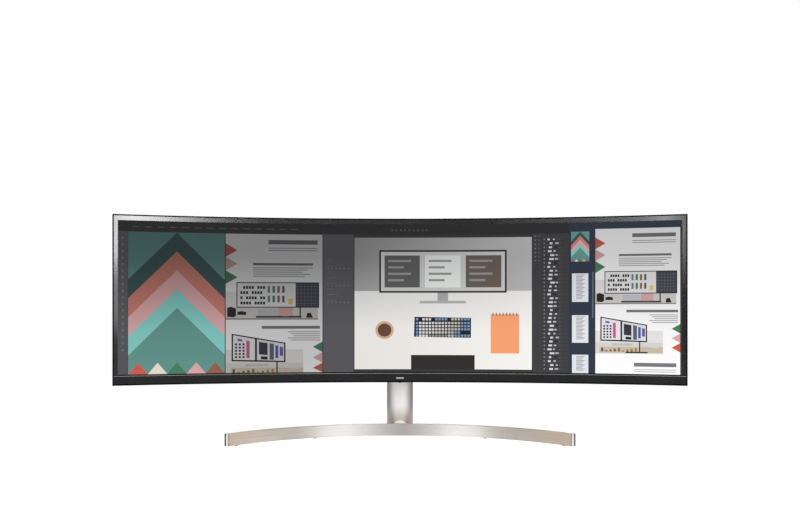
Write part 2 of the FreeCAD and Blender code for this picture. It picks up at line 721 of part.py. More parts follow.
def joystick():
    """The key under the chin: housing, rocking ring, stem and cap."""
    housing = new_body("joystick_housing", y=behind("key_depth"), z="key_pivot")
    extrude(housing, "XY", "-3.6", "5", lambda sketch: rectangle(sketch, "-4.5", "-3.9", "4.5", "3.9"))
    extrude(housing, "XY", "-3.7", "4", lambda sketch: rectangle(
        sketch, "-3.5", "-3.1", "3.5", "3.1"), cut=True)
    extrude(housing, "XZ", "-4", "4", lambda sketch: disc(sketch, "0", "0", "0.55"), cut=True)
    ring = new_body("joystick_ring", y=behind("key_depth"), z="key_pivot")
    extrude(ring, "XY", "-1", "1", lambda sketch: rectangle(sketch, "-2.7", "-2.5", "2.7", "2.5"))
    extrude(ring, "XY", "-1.1", "1.1", lambda sketch: rectangle(
        sketch, "-1.8", "-1.6", "1.8", "1.6"), cut=True)
    extrude(ring, "XZ", "-3.7", "-2.4", lambda sketch: disc(sketch, "0", "0", "0.5"))
    extrude(ring, "XZ", "2.4", "3.7", lambda sketch: disc(sketch, "0", "0", "0.5"))
    extrude(ring, "YZ", "-3", "3", lambda sketch: disc(sketch, "0", "0", "0.45"), cut=True)
    stem = new_body("joystick_stem", y=behind("key_depth"), z="key_pivot")
    extrude(stem, "XY", "-3.8", "2.6", lambda sketch: disc(sketch, "0", "0", "1"))
    extrude(stem, "YZ", "-2.5", "2.5", lambda sketch: disc(sketch, "0", "0", "0.4"))
    cap = new_body("joystick_cap", y=behind("key_depth"), z="key_pivot")
    revolve(cap, FULL_TURN, lambda sketch: outline(
        sketch, [("0", "-7.4"), ("2.4", "-7.4"), ("3", "-6.8"), ("3", "-4.8"), ("2.2", "-2.4"),
                 ("1.05", "-2.4"), ("1.05", "-4.6"), ("0", "-4.6")]))


# Tilt hinge and lift ---------------------------------------------------------------------------


def hinge_head():
    """The casting on top of the inner column, with the barrel that holds the tilt shaft."""
    body = new_body("hinge_head")
    extrude(body, "XY", "tube_top", "tube_top + 8", lambda sketch: disc(
        sketch, "0", "0", "tube_radius + 1.5"))
    extrude(body, "YZ", "-ear_inner + 0.5", "ear_inner - 0.5", lambda sketch: outline(
        sketch, [("-hinge_front", "hinge_height - 13"), ("-16", "tube_top"), ("20", "tube_top"),
                 ("20", "hinge_height + 8"), ("8", "hinge_height + 13"),
                 ("-hinge_front", "hinge_height + 13"), ("-hinge_front - 13", "hinge_height")],
        {5: ("-hinge_front", "hinge_height"), 6: ("-hinge_front", "hinge_height")}))
    extrude(body, "YZ", "-ear_inner", "ear_inner", lambda sketch: disc(
        sketch, "-hinge_front", "hinge_height", "shaft_radius"), cut=True)


def tilt_shaft():
    body = new_body("tilt_shaft", y="-hinge_front", z="hinge_height")
    extrude(body, "YZ", "-40", "40", lambda sketch: disc(sketch, "0", "0", "shaft_radius"))


def tilt_fasteners():
    """Spring washers against the ears, and the nuts that set the friction."""
    washers = new_body("tilt_washers", y="-hinge_front", z="hinge_height")
    nuts = new_body("tilt_nuts", y="-hinge_front", z="hinge_height")

    def washer(sketch):
        disc(sketch, "0", "0", "11")
        disc(sketch, "0", "0", "shaft_radius")

    def nut(sketch):
        radius = 10
        corners = []
        for number in range(6):
            angle = math.radians(60 * number)
            corners.append((f"{radius * math.cos(angle):.4f}", f"{radius * math.sin(angle):.4f}"))
        outline(sketch, corners)
        disc(sketch, "0", "0", "shaft_radius")

    extrude(washers, "YZ", "-ear_outer - 2", "-ear_outer - 0.3", washer)
    extrude(washers, "YZ", "ear_outer + 0.3", "ear_outer + 2", washer)
    extrude(nuts, "YZ", "-ear_outer - 8", "-ear_outer - 2", nut)
    extrude(nuts, "YZ", "ear_outer + 2", "ear_outer + 8", nut)


def hinge_cover():
    """The moulded hood over the back of the hinge."""
    body = new_body("hinge_cover")

    def draw_outer(sketch):
        outline(sketch, [("-16", "tube_top - 3"), ("34", "tube_top - 3"), ("34", "hinge_height + 4"),
                         ("16", "hinge_height + 22"), ("-16", "hinge_height + 22")])

    def draw_inner(sketch):
        outline(sketch, [("-17", "tube_top - 0.5"), ("31.5", "tube_top - 0.5"), ("31.5", "hinge_height + 3"),
                         ("15", "hinge_height + 19.5"), ("-17", "hinge_height + 19.5")])

    extrude(body, "YZ", "-43", "43", draw_outer)
    extrude(body, "YZ", "-40.5", "40.5", draw_inner, cut=True)
    extrude(body, "XY", "tube_top - 4", "tube_top", lambda sketch: disc(
        sketch, "0", "0", "tube_radius"), cut=True)


def lift_parts():
    turned("inner_column", tube_profile(
        "tube_radius - tube_wall", "tube_radius", "tube_bottom", "tube_top"))
    turned("lower_guide", tube_profile(
        "tube_radius", "column_radius - column_wall - slide_gap", "tube_bottom", "tube_bottom + 14"))
    rod = new_body("gas_spring_rod")
    revolve(rod, FULL_TURN, lambda sketch: outline(
        sketch, [("0", "80"), ("8.6", "80"), ("8.6", "90"), ("rod_radius", "90"),
                 ("rod_radius", "tube_top"), ("0", "tube_top")]))


# Outer column and swivel -----------------------------------------------------------------------


def column_parts():
    turned("outer_column", tube_profile(
        "column_radius - column_wall", "column_radius", "column_bottom", "column_top"))
    inner = "tube_radius + slide_gap"
    sleeve = "column_radius - column_wall"
    turned("column_collar", [(inner, "column_top - 30"), (sleeve, "column_top - 30"), (sleeve, "column_top"),
                             ("column_radius", "column_top"), ("column_radius - 0.8", "column_top + 5"),
                             (inner, "column_top + 5")])
    turned("spring_seat", [("20", "swivel_top"), (sleeve, "swivel_top"), (sleeve, "36"), ("0", "36"),
                           ("0", "33"), ("20", "33")])
    turned("gas_spring_cylinder", [("0", "36"), ("spring_radius", "36"), ("spring_radius", "186"),
                                   ("rod_radius + slide_gap", "186"), ("rod_radius + slide_gap", "180"),
                                   ("9", "180"), ("9", "40"), ("0", "40")])


def swivel_plate():
    """The turning plate, with the arc slot that a fixed pin stops at either end."""
    body = new_body("swivel_plate")
    extrude(body, "XY", "bush_top", "swivel_top", lambda sketch: disc(
        sketch, "0", "0", "column_radius - column_wall"))
    extrude(body, "XY", "bush_top - 1", "swivel_top + 1", lambda sketch: disc(
        sketch, "0", "0", "bolt_radius + 0.08"), cut=True)
    half_angle = "22.5"
    inner = "stop_radius - 2.4"
    outer = "stop_radius + 2.4"
    corners = []
    for radius, side in ((inner, -1), (inner, 1), (outer, 1), (outer, -1)):
        corners.append((f"{side} * ({radius}) * sin({half_angle})", f"({radius}) * cos({half_angle})"))
    extrude(body, "XY", "bush_top - 1", "swivel_top + 1", lambda sketch: outline(
        sketch, corners, {0: ("0", "0"), 2: ("0", "0")}), cut=True)


def cable_clip():
    """A spring clip round the back of the column, with an open loop for the leads."""
    body = new_body("cable_clip")
    outer = "column_radius + 2.5"
    half = "40"

    def band(sketch):
        corners = []
        for radius, side in (("column_radius", -1), ("column_radius", 1), (outer, 1), (outer, -1)):
            corners.append((f"{side} * ({radius}) * sin({half})", f"({radius}) * cos({half})"))
        outline(sketch, corners, {0: ("0", "0"), 2: ("0", "0")})

    def loop(sketch):
        back = "column_radius + 20"
        inside = "column_radius + 17"
        outline(sketch, [("-18", "column_radius - 2"), ("18", "column_radius - 2"), ("18", back), ("5", back),
                         ("5", inside), ("15", inside), ("15", "column_radius + 1"),
                         ("-15", "column_radius + 1"), ("-15", inside), ("-5", inside), ("-5", back),
                         ("-18", back)])

    extrude(body, "XY", "92", "112", band)
    extrude(body, "XY", "92", "112", loop)
    extrude(body, "XY", "91", "113", lambda sketch: disc(sketch, "0", "0", "column_radius"), cut=True)


# Base ------------------------------------------------------------------------------------------


def screw_discs(radius):
    """Draws a disc on the axis of each of the two screws that hold the bar."""
    def draw(sketch):
        disc(sketch, "-34", "9", radius)
        disc(sketch, "34", "9", radius)

    return draw


def base_arc():
    """The arc-shaped bar, with a fine bevel along its edges."""
    body = new_body("base_arc", y="-bar_axis")
    revolve(body, "bar_angle", lambda sketch: rectangle(
        sketch, "bar_radius", "foot_height", "bar_radius + bar_thickness", "bar_height"), plane="YZ")
    solid = body.Tip
    edges = []
    for number, edge in enumerate(solid.Shape.Edges, start=1):
        if edge.BoundBox.ZMin > value("bar_height") - 0.01:
            edges.append(f"Edge{number}")
        elif edge.BoundBox.ZLength > 1:
            edges.append(f"Edge{number}")
    bevel = body.newObject("PartDesign::Chamfer", "base_arc_bevel")
    bevel.Base = (solid, edges)
    bevel.Size = 0.6
    checked(body, bevel, True)
    extrude(body, "XZ", "bar_axis - 41", "bar_axis - 25", screw_discs("2.5"), cut=True)


def base_hub():
    """The block behind the bar that carries the swivel."""
    body = new_body("base_hub")
    back_radius = "(bar_radius + bar_thickness)"
    front = f"sqrt({back_radius}^2 - hub_half_width^2) - bar_axis"
    extrude(body, "XY", "hub_bottom", "hub_top", lambda sketch: outline(
        sketch, [("-hub_half_width", front), ("hub_half_width", front), ("hub_half_width", "4"),
                 ("-hub_half_width", "4")],
        {0: ("0", "-bar_axis"), 2: ("0", "-10")}))
    extrude(body, "XY", "hub_bottom - 1", "hub_bottom + 6", lambda sketch: disc(
        sketch, "0", "0", "13"), cut=True)
    extrude(body, "XY", "hub_bottom", "hub_top + 1", lambda sketch: disc(
        sketch, "0", "0", "bolt_radius"), cut=True)
    extrude(body, "XY", "hub_top - 6", "hub_top + 1", lambda sketch: disc(
        sketch, "0", "stop_radius", "2"), cut=True)

    def screw_pockets(sketch):
        for side in (-1, 1):
            rectangle(sketch, f"{side * 34} - 6", "-14", f"{side * 34} + 6", "0")

    extrude(body, "XY", "hub_bottom - 1", "hub_top - 1", screw_pockets, cut=True)
    extrude(body, "XZ", "-40", "-10", screw_discs("2.5"), cut=True)


def bar_screws():
    """Two screws that hold the bar against the hub."""
    body = new_body("bar_screws")
    extrude(body, "XZ", "-36", "-14", screw_discs("2.5"))
    extrude(body, "XZ", "-14", "-10", screw_discs("4.2"))


def base_small_parts():
    turned("pivot_bolt", [("0", "hub_bottom"), ("12", "hub_bottom"), ("12", "hub_bottom + 6"),
                          ("bolt_radius", "hub_bottom + 6"), ("bolt_radius", "30"), ("0", "30")])
    turned("pivot_nut", tube_profile("bolt_radius", "12", "swivel_top + 0.4", "swivel_top + 7"))
    turned("swivel_bush", tube_profile("bolt_radius + 0.5", "14", "hub_top", "bush_top - 0.05"))
    pin = new_body("stop_pin")
    extrude(pin, "XY", "hub_top - 6", "swivel_top", lambda sketch: disc(sketch, "0", "stop_radius", "2"))


def rubber_feet():
    """Pads under the bar, and one round pad under the hub that covers its bolt."""
    bar = new_body("bar_feet", y="-bar_axis")

    def pads(sketch):
        for angle in (-50, -25, 25, 50):
            radius = "(bar_radius + bar_thickness / 2)"
            disc(sketch, f"{radius} * sin({angle})", f"{radius} * cos({angle})", "4")

    extrude(bar, "XY", "0", "foot_height", pads)
    turned("hub_foot", [("0", "0"), ("28", "0"), ("29", "1"), ("29", "hub_bottom"), ("0", "hub_bottom")])


def check_and_write():
    DOC.recompute()
    for item in DOC.Objects:
        if "Invalid" in item.State or "Error" in item.State:
            raise RuntimeError(f"{item.Label} failed to compute: {item.State}")
    os.makedirs("parts", exist_ok=True)
    for piece in PIECES:
        if piece.Shape.isNull() or not piece.Shape.isValid() or not piece.Shape.Solids:
            raise RuntimeError(f"{piece.Label} has no valid solid")
        piece.Shape.exportStep(f"parts/{piece.Label}.step")


def main():
    fill_sheet()
    for build in (bezel_frame, panel_layers, led_bar, panel_chassis, badge, rear_cover, vesa_plate,
                  stand_coupling, head_screws, release_button, button_guide, boards, board_standoffs,
                  timing_board, panel_ribbon, sockets, headphone_jack, power_inlet, lock_slot, speakers,
                  joystick, hinge_head, tilt_shaft, tilt_fasteners, hinge_cover, lift_parts, column_parts,
                  swivel_plate, cable_clip, base_arc, base_hub, bar_screws, base_small_parts, rubber_feet):
        build()
    check_and_write()


main()
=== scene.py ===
import json
import math

import bmesh
import bpy
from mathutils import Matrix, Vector


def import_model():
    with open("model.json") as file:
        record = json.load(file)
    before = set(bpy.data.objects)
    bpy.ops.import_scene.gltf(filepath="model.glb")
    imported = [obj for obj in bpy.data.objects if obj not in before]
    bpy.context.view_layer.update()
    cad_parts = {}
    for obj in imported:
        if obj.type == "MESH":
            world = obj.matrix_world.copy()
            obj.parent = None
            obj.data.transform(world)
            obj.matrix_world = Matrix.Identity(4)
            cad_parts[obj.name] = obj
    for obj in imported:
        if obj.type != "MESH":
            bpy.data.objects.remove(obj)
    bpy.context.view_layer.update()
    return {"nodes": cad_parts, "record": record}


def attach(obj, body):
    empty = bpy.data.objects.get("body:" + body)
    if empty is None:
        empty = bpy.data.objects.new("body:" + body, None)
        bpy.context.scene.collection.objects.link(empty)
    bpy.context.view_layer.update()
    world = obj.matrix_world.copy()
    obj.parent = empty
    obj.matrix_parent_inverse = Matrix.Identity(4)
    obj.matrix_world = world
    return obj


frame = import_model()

# Curved ultra-wide monitor on an arc-shaped stand. Metres, in the frame of the CAD model.
# The screen faces -Y, +X is the viewer's right and the table is z = 0.

MM = 0.001
CURVE_AXIS_Y = -1.907        # upright axis of the panel's curvature
CURVE_RADIUS = 1.8           # front of the bezel, about that axis
GLASS_RADIUS = 1.8014        # front face of the panel, about the same axis
BAR_AXIS_Y = -0.4904         # upright axis of the arc-shaped bar
BAR_MIDDLE_RADIUS = 0.4545
BAR_BACK_RADIUS = 0.46
BAR_END_ANGLE = 53.5         # degrees; beyond it only the faces and bevels of the bar's ends
BAR_CORNER_ANGLE = 0.3       # degrees; width of the painted grey shade line in front of them
BAR_DARK_EDGE = 0.0046       # the back part of each end face, painted dark as shade
BAR_DARK_BLUR = 0.0006
COLUMN_RADIUS = 0.03
COLUMN_FLANK = 0.017         # beyond it, sideways, the column darkens with painted shade
COLUMN_WARM = 0.042          # height of the painted warm reflection of the bar at the foot, which fades out at COLUMN_SILVER
COLUMN_SILVER = 0.068
GLINT_SHOULDER = 0.0305      # the painted highlight narrows from here up to its top
GLINT_TOP = 0.0345
GLINT_HALF_WIDTH = 0.0135
GLINT_HALF_TOP = 0.005

# The picture and the strip under it, in millimetres
PICTURE_WIDTH = 1218.0       # along the arc
PICTURE_HEIGHT = 328.0
PICTURE_BOTTOM = 151.5
FIRST_LEVEL = 0.28           # clears the flats of the panel's curved mesh
LEVEL_STEP = 0.035           # from one level of shapes to the next
BEND_STEP = 12.5             # width of the strips that follow the curve
CHIN_HALF_WIDTH = 604.7
CHIN_EDGE_LOW = 147.6
CHIN_EDGE_TOP = 148.8
CHIN_EDGE_DEEP = 1.3
CHIN_EDGE_BEVEL = 0.3
CHIN_STEPS = 120


# Materials -------------------------------------------------------------------------------------


class Shader:
    """A material's node tree, with short ways to add the nodes that it uses."""

    def __init__(self, name):
        self.material = bpy.data.materials.new(name)
        self.material.use_nodes = True
        self.tree = self.material.node_tree
        self.surface = self.tree.nodes["Principled BSDF"]

    def node(self, kind, **settings):
        made = self.tree.nodes.new(kind)
        for key, setting in settings.items():
            setattr(made, key, setting)
        return made

    def join(self, output, socket):
        if hasattr(output, "is_output"):
            self.tree.links.new(output, socket)
        else:
            socket.default_value = output

    def maths(self, operation, first, second=0.0, clamp=False):
        made = self.node("ShaderNodeMath", operation=operation, use_clamp=clamp)
        self.join(first, made.inputs[0])
        self.join(second, made.inputs[1])
        return made.outputs[0]

    def place(self):
        """The object's own coordinates, in metres."""
        return self.node("ShaderNodeTexCoord").outputs["Object"]

    def split(self, vector):
        made = self.node("ShaderNodeSeparateXYZ")
        self.join(vector, made.inputs[0])
        return made.outputs

    def vector(self, x, y, z):
        made = self.node("ShaderNodeCombineXYZ")
        for socket, number in zip(made.inputs, (x, y, z)):
            self.join(number, socket)
        return made.outputs[0]

    def around(self, axis_y, radius, along, across):
        """Coordinates wrapped about an upright axis: along the arc, by height, and by radius."""
        x, y, z = self.split(self.place())
        y = self.maths("SUBTRACT", y, axis_y)
        length = self.maths("MULTIPLY", self.maths("ARCTAN2", x, y), radius * along)
        squares = self.maths("ADD", self.maths("MULTIPLY", x, x), self.maths("MULTIPLY", y, y))
        far = self.maths("SQRT", squares)
        return self.vector(length, self.maths("MULTIPLY", z, across), self.maths("MULTIPLY", far, across))

    def noise(self, vector, scale=1.0, detail=2.0, roughness=0.5):
        made = self.node("ShaderNodeTexNoise")
        self.join(vector, made.inputs["Vector"])
        made.inputs["Scale"].default_value = scale
        made.inputs["Detail"].default_value = detail
        made.inputs["Roughness"].default_value = roughness
        return made.outputs[0]

    def spread(self, factor, low, high, start=0.3, end=0.7):
        """A 0 to 1 factor turned into a range of numbers."""
        made = self.node("ShaderNodeMapRange")
        self.join(factor, made.inputs["Value"])
        for name, number in (("From Min", start), ("From Max", end), ("To Min", low), ("To Max", high)):
            made.inputs[name].default_value = number
        return made.outputs[0]

    def blend(self, factor, first, second, kind="MIX"):
        made = self.node("ShaderNodeMix", data_type="RGBA", blend_type=kind)
        self.join(factor, made.inputs[0])
        for socket, colour in ((made.inputs[6], first), (made.inputs[7], second)):
            self.join(colour if hasattr(colour, "is_output") else (*colour, 1.0), socket)
        return made.outputs[2]

    def edge(self, radius, gain=6.0):
        """1 on outside and inside corners, 0 on flat faces."""
        rounded = self.node("ShaderNodeBevel", samples=4)
        rounded.inputs["Radius"].default_value = radius
        flat = self.node("ShaderNodeNewGeometry")
        match = self.node("ShaderNodeVectorMath", operation="DOT_PRODUCT")
        self.join(rounded.outputs[0], match.inputs[0])
        self.join(flat.outputs["Normal"], match.inputs[1])
        away = self.maths("SUBTRACT", 1.0, match.outputs["Value"])
        return self.maths("MULTIPLY", away, gain, clamp=True)

    def bump(self, height, distance):
        made = self.node("ShaderNodeBump")
        self.join(height, made.inputs["Height"])
        made.inputs["Distance"].default_value = distance
        made.inputs["Strength"].default_value = 1.0
        return made.outputs[0]

    def brush_across(self, amount, axis_y):
        """Stretches reflections up and down on upright faces, and outward on level ones."""
        x, y, _ = self.split(self.place())
        outward = self.maths("MULTIPLY", self.maths("SUBTRACT", y, axis_y), 0.1)
        self.set(Tangent=self.vector(self.maths("MULTIPLY", x, 0.1), outward, 1.0))
        self.surface.inputs["Anisotropic"].default_value = amount

    def set(self, **values):
        """Numbers or node outputs for the surface's inputs, with _ for the spaces in their names."""
        for key, number in values.items():
            self.join(number, self.surface.inputs[key.replace("_", " ")])


def toned(shader, vector, colour, amount, scale):
    """A colour that varies gently in brightness over the surface."""
    dark = tuple(channel * (1 - amount) for channel in colour)
    light = tuple(min(1.0, channel * (1 + amount)) for channel in colour)
    return shader.blend(shader.spread(shader.noise(vector, scale, 3.0), 0.0, 1.0), dark, light)


def moulded(name, colour, roughness, grain=1300.0, depth=0.03, specular=0.5, edge_wear_and_shade=0.25, patchy=0.05):
    """Moulded plastic: a fine spark texture, faint tone changes and edges rubbed slightly smooth."""
    shader = Shader(name)
    place = shader.place()
    tone = toned(shader, place, colour, patchy, 14.0)
    wear = shader.edge(0.0006)
    rubbed = tuple(min(1.0, channel * (1 + edge_wear_and_shade) + 0.01 * edge_wear_and_shade) for channel in colour)
    shader.set(Base_Color=shader.blend(wear, tone, rubbed))
    smears = shader.spread(shader.noise(place, 22.0, 4.0), roughness - 0.05, roughness + 0.06)
    shader.set(Roughness=smears)
    spark = shader.noise(place, grain, 2.0, 0.6)
    shader.set(Normal=shader.bump(spark, depth * MM))
    shader.surface.inputs["Specular IOR Level"].default_value = specular
    return shader.material


def metal(name, colour, roughness, grain, depth, wear=0.1, metallic=1.0, stretch=(1.0, 1.0, 1.0)):
    """Bare or plated metal: a fine grain that may be drawn out, patchy polish and brighter edges."""
    shader = Shader(name)
    x, y, z = shader.split(shader.place())
    place = shader.vector(*(shader.maths("MULTIPLY", part, by) for part, by in zip((x, y, z), stretch)))
    tone = toned(shader, shader.place(), colour, 0.07, 30.0)
    bright = tuple(min(1.0, channel * (1 + wear)) for channel in colour)
    shader.set(Base_Color=shader.blend(shader.edge(0.0004), tone, bright))
    fine = shader.noise(place, grain, 3.0, 0.6)
    shader.set(Roughness=shader.spread(fine, roughness - 0.06, roughness + 0.08))
    shader.set(Normal=shader.bump(fine, depth * MM))
    shader.surface.inputs["Metallic"].default_value = metallic
    return shader.material


def brushed_bar():
    """Warm satin aluminium, brushed along the arc, with polished ends and painted shade: darker towards the
    middle of the arc, on its corners and on the back part of each end face.
    """
    shader = Shader("brushed_bar")
    x, y, _ = shader.split(shader.place())
    angle = shader.maths("ABSOLUTE", shader.maths("ARCTAN2", x, shader.maths("SUBTRACT", y, BAR_AXIS_Y)))
    end = shader.maths("GREATER_THAN", angle, math.radians(BAR_END_ANGLE))
    lines = shader.noise(shader.around(BAR_AXIS_Y, BAR_MIDDLE_RADIUS, 18.0, 2600.0), 1.0, 4.0, 0.6)
    streaks = shader.noise(shader.around(BAR_AXIS_Y, BAR_MIDDLE_RADIUS, 6.0, 500.0), 1.0, 3.0)
    middle = shader.blend(shader.spread(streaks, 0.0, 1.0), (0.71, 0.69, 0.675), (0.81, 0.79, 0.775))
    # Painted shade: the colour darkens towards the middle of the arc
    middle = shader.blend(shader.spread(angle, 0.0, 1.0, 0.02, 0.24), (0.58, 0.555, 0.54), middle)
    outer = shader.blend(shader.spread(streaks, 0.0, 1.0), (0.82, 0.7, 0.58), (0.92, 0.81, 0.69))
    warm = shader.blend(shader.spread(angle, 0.0, 1.0, 0.35, 0.85), middle, outer)
    # Painted shade: the bar's corners and bevels are darker
    edge_wear_and_shade = shader.blend(shader.edge(0.0005), warm, (0.42, 0.39, 0.37))
    reach = shader.split(shader.around(BAR_AXIS_Y, 1.0, 1.0, 1.0))[2]
    # Painted shade: the back part of each polished end face is near black, matt and not metallic
    dark_from = BAR_BACK_RADIUS - BAR_DARK_EDGE
    shaded = shader.spread(reach, 0.0, 1.0, dark_from - BAR_DARK_BLUR, dark_from)
    polished = shader.blend(shaded, (0.78, 0.75, 0.71), (0.004, 0.0035, 0.003))
    # Painted shade: a grey line along the front corner of each end
    corner = shader.maths("GREATER_THAN", angle, math.radians(BAR_END_ANGLE - BAR_CORNER_ANGLE))
    shader.set(Base_Color=shader.blend(end, shader.blend(corner, edge_wear_and_shade, (0.4, 0.38, 0.4)), polished))
    soft = shader.spread(lines, 0.48, 0.6)
    sheen = shader.maths("MULTIPLY", soft, shader.spread(end, 1.0, 0.4, 0.0, 1.0))
    dark = shader.maths("MULTIPLY", end, shaded)
    shader.set(Roughness=shader.maths("ADD", sheen, shader.maths("MULTIPLY", dark, 0.6), clamp=True))
    shader.set(Metallic=shader.maths("SUBTRACT", 1.0, dark))
    shader.set(Normal=shader.bump(lines, 0.02 * MM))
    shader.brush_across(0.95, BAR_AXIS_Y)
    return shader.material


def satin_column():
    """Satin aluminium tube, turned, so the fine lines go round it, with painted light: a warm painted
    reflection of the bar towards its foot, painted shade on its flanks and a painted highlight just above the
    bar.
    """
    shader = Shader("satin_column")
    lines = shader.noise(shader.around(0.0, COLUMN_RADIUS, 25.0, 2400.0), 1.0, 4.0, 0.6)
    patch = shader.noise(shader.place(), 25.0, 3.0)
    silver = shader.blend(shader.spread(patch, 0.0, 1.0), (0.68, 0.67, 0.67), (0.72, 0.71, 0.71))
    reflected_taupe = shader.blend(shader.spread(patch, 0.0, 1.0), (0.47, 0.425, 0.375), (0.51, 0.465, 0.415))
    x, y, height = shader.split(shader.place())
    # Painted reflection of the bar and its shade: warm taupe towards the foot
    foot = shader.spread(height, 1.0, 0.0, COLUMN_WARM, COLUMN_SILVER)
    front = shader.blend(foot, silver, reflected_taupe)
    # Painted shade on the flanks, which at the foot carry a lighter painted reflection instead
    sideways = shader.maths("ABSOLUTE", x)
    flank_shade = shader.spread(sideways, 0.0, 1.0, COLUMN_FLANK, COLUMN_RADIUS)
    satin = shader.blend(flank_shade, front, shader.blend(foot, (0.32, 0.295, 0.26), (0.6, 0.55, 0.49)))
    # A small painted highlight in front, just above the bar, narrower upwards: the bar's top edge reflected
    # in the column
    width = shader.spread(height, GLINT_HALF_WIDTH, GLINT_HALF_TOP, GLINT_SHOULDER, GLINT_TOP)
    inside = shader.maths("LESS_THAN", sideways, width)
    low = shader.maths("LESS_THAN", height, GLINT_TOP)
    ahead = shader.maths("LESS_THAN", y, 0.0)
    painted_glint = shader.maths("MULTIPLY", shader.maths("MULTIPLY", inside, low), ahead)
    shader.set(Base_Color=shader.blend(painted_glint, satin, (0.9, 0.85, 0.76)))
    shader.set(Roughness=shader.spread(lines, 0.52, 0.58))
    shader.set(Normal=shader.bump(lines, 0.002 * MM))
    shader.surface.inputs["Metallic"].default_value = 1.0
    return shader.material


def panel_border():
    """The dark gloss border round the picture, darker below it, with faint wipe marks."""
    shader = Shader("panel_border")
    wipes = shader.noise(shader.around(CURVE_AXIS_Y, CURVE_RADIUS, 5.0, 12.0), 1.0, 4.0)
    gloss = shader.blend(shader.spread(wipes, 0.0, 1.0), (0.31, 0.31, 0.315), (0.36, 0.36, 0.36))
    height = shader.split(shader.place())[2]
    foot = shader.spread(height, 1.0, 0.0, (PICTURE_BOTTOM - 0.7) * MM, (PICTURE_BOTTOM + 0.1) * MM)
    shader.set(Base_Color=shader.blend(foot, gloss, (0.12, 0.12, 0.125)))
    shader.set(Roughness=shader.spread(wipes, 0.09, 0.13))
    shader.surface.inputs["Metallic"].default_value = 1.0
    return shader.material


def picture_light():
    """The lit picture on a matt black screen, dimmer towards its upper left."""
    shader = Shader("picture_light")
    flat = shader.node("ShaderNodeVertexColor", layer_name="ink").outputs["Color"]
    x, _, z = shader.split(shader.place())
    high = shader.spread(z, 0.0, 1.0, 0.245, 0.405)
    left = shader.spread(x, 1.0, 0.45, -0.1, 0.45)
    dim = shader.maths("MULTIPLY", high, left, clamp=True)
    lit = shader.blend(dim, (1.0, 1.0, 1.0), (0.5, 0.5, 0.505))
    shader.set(Emission_Color=shader.blend(1.0, flat, lit, "MULTIPLY"))
    film = shader.noise(shader.place(), 900.0, 2.0)
    shader.set(Base_Color=shader.blend(film, (0.004, 0.004, 0.004), (0.006, 0.006, 0.006)))
    shader.set(Roughness=shader.spread(film, 0.4, 0.5))
    shader.surface.inputs["Specular IOR Level"].default_value = 0.1
    shader.surface.inputs["Emission Strength"].default_value = 1.0
    return shader.material


def circuit_board():
    """Green solder resist over faint tracks."""
    shader = Shader("circuit_board")
    place = shader.place()
    tracks = shader.noise(place, 420.0, 1.0)
    sharp = shader.spread(tracks, 0.0, 1.0, 0.45, 0.55)
    shader.set(Base_Color=shader.blend(sharp, (0.012, 0.075, 0.035), (0.02, 0.13, 0.06)))
    shader.set(Roughness=shader.spread(tracks, 0.28, 0.4))
    shader.set(Normal=shader.bump(tracks, 0.03 * MM))
    return shader.material


def clear_layer():
    """Slightly hazy clear plastic, for the layers that spread the light."""
    shader = Shader("clear_layer")
    haze = shader.noise(shader.place(), 60.0, 3.0)
    shader.set(Base_Color=shader.blend(haze, (0.78, 0.8, 0.81), (0.86, 0.88, 0.89)))
    shader.set(Roughness=shader.spread(haze, 0.12, 0.22))
    shader.surface.inputs["Transmission Weight"].default_value = 0.5
    return shader.material


BLACK = (0.008, 0.008, 0.0085)
FINISHES = {
    "satin_aluminium": satin_column(),
    "cast_metal": metal("cast_grey", (0.2, 0.2, 0.205), 0.5, 700.0, 0.05, metallic=0.3),
    "steel": metal("plated_steel", (0.6, 0.61, 0.62), 0.33, 500.0, 0.01, stretch=(1.0, 1.0, 3.0)),
    "chrome_rod": metal("polished_rod", (0.72, 0.72, 0.74), 0.12, 300.0, 0.002),
    "rubber": moulded("matt_rubber", (0.022, 0.022, 0.022), 0.72, 700.0, 0.05),
    "black_plastic": moulded("black_moulding", BLACK, 0.36, 1500.0, 0.012, specular=0.18),
    "cover_plastic": moulded("pale_cover", (0.66, 0.66, 0.655), 0.46, 1100.0, 0.03, edge_wear_and_shade=0.06, patchy=0.012),
    "coupling_metal": metal("powder_coat", (0.28, 0.28, 0.285), 0.48, 900.0, 0.04, metallic=0.2),
    "panel_glass": panel_border(),
    "clear_plastic": clear_layer(),
    "badge_metal": metal("satin_badge", (0.62, 0.62, 0.62), 0.3, 1500.0, 0.004, stretch=(0.2, 1.0, 1.0)),
    "circuit_board": circuit_board(),
    "ribbon": moulded("amber_film", (0.42, 0.22, 0.05), 0.3, 300.0, 0.01),
}
SPECIAL = {
    "base_arc": brushed_bar(),
    "bezel_frame": moulded("frame_moulding", (0.003, 0.003, 0.003), 0.3, 1500.0, 0.008, specular=0.05),
    "chin_trim": moulded("chin_moulding", (0.0105, 0.0105, 0.0105), 0.34, 1500.0, 0.012, specular=0.16),
}


def paint_nodes():
    for part in frame["record"]["subparts"]:
        node = frame["nodes"][part["node"]]
        finish = SPECIAL.get(part["node"]) or FINISHES[part["material_slot"]]
        node.data.materials.clear()
        node.data.materials.append(finish)


paint_nodes()


# The picture on the screen ---------------------------------------------------------------------

